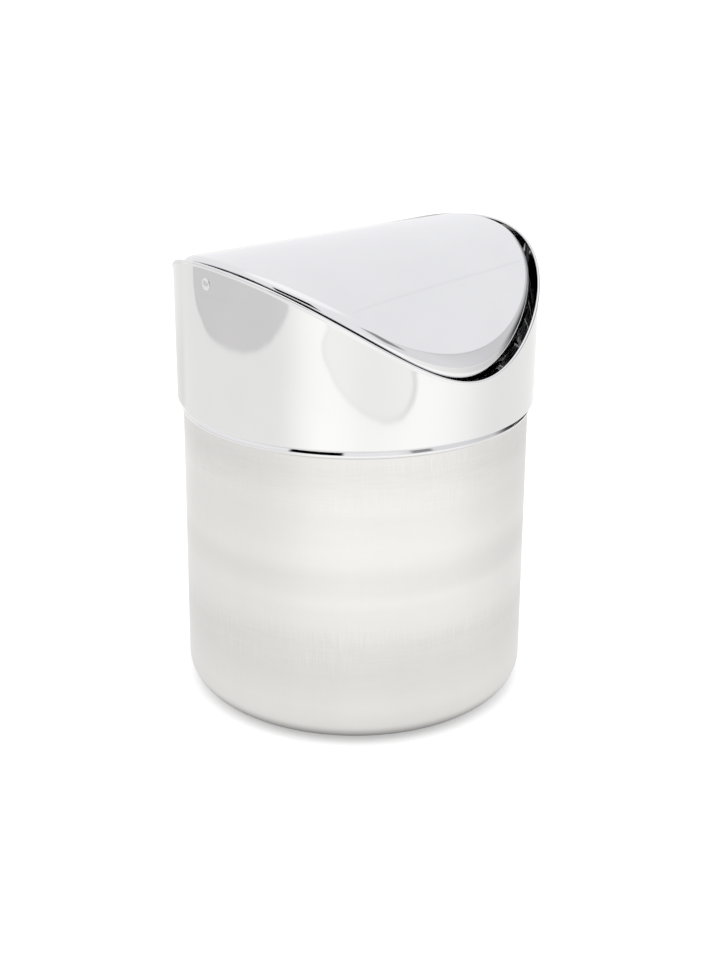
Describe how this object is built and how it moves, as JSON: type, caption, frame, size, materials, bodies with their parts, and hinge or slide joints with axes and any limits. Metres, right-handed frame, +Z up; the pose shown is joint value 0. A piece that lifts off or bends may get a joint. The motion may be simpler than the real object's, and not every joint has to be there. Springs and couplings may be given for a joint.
{
  "type": "countertop swing-top bin",
  "caption": "Small round steel worktop bin: satin can, polished collar with a wave-cut rim, and an arched lid that swings both ways on two pins.",
  "frame": {"origin": "centre of the footprint, on the surface that the bin stands on", "axes": "+Z up; the lid's pivot axis runs along X, so the rim's two peaks are at -X and +X; the low front is -Y and the low back is +Y"},
  "size_m": [0.1284, 0.1274, 0.1654],
  "materials": {
    "satin_steel": "satin, fine vertical brushing",
    "polished_steel": "mirror polished",
    "plain_steel": "mill finish",
    "spring_steel": "dark oiled",
    "nylon": "natural nylon",
    "soft_pad": "matte foam rubber"
  },
  "bodies": {
    "can": {"can_body": "satin_steel", "base_pad": "soft_pad"},
    "collar": {"collar_shell": "polished_steel", "seat_ring": "plain_steel", "pivot_pin_left": "polished_steel", "pivot_pin_right": "polished_steel", "spacer_left": "nylon", "spacer_right": "nylon", "retainer_left": "spring_steel", "retainer_right": "spring_steel"},
    "lid": {"lid_shell": "polished_steel", "ear_left": "plain_steel", "ear_right": "plain_steel", "bush_left": "nylon", "bush_right": "nylon", "balance_rod": "plain_steel"}
  },
  "joints": [
    {"name": "collar_lift", "type": "slide", "parent": "can", "child": "collar", "axis": [0, 0, 1], "range_m": [0, 0.09]},
    {"name": "lid_swing", "type": "hinge", "parent": "collar", "child": "lid", "pos_m": [0, 0, 0.1584], "axis": [1, 0, 0], "range_deg": [-90, 90]}
  ]
}
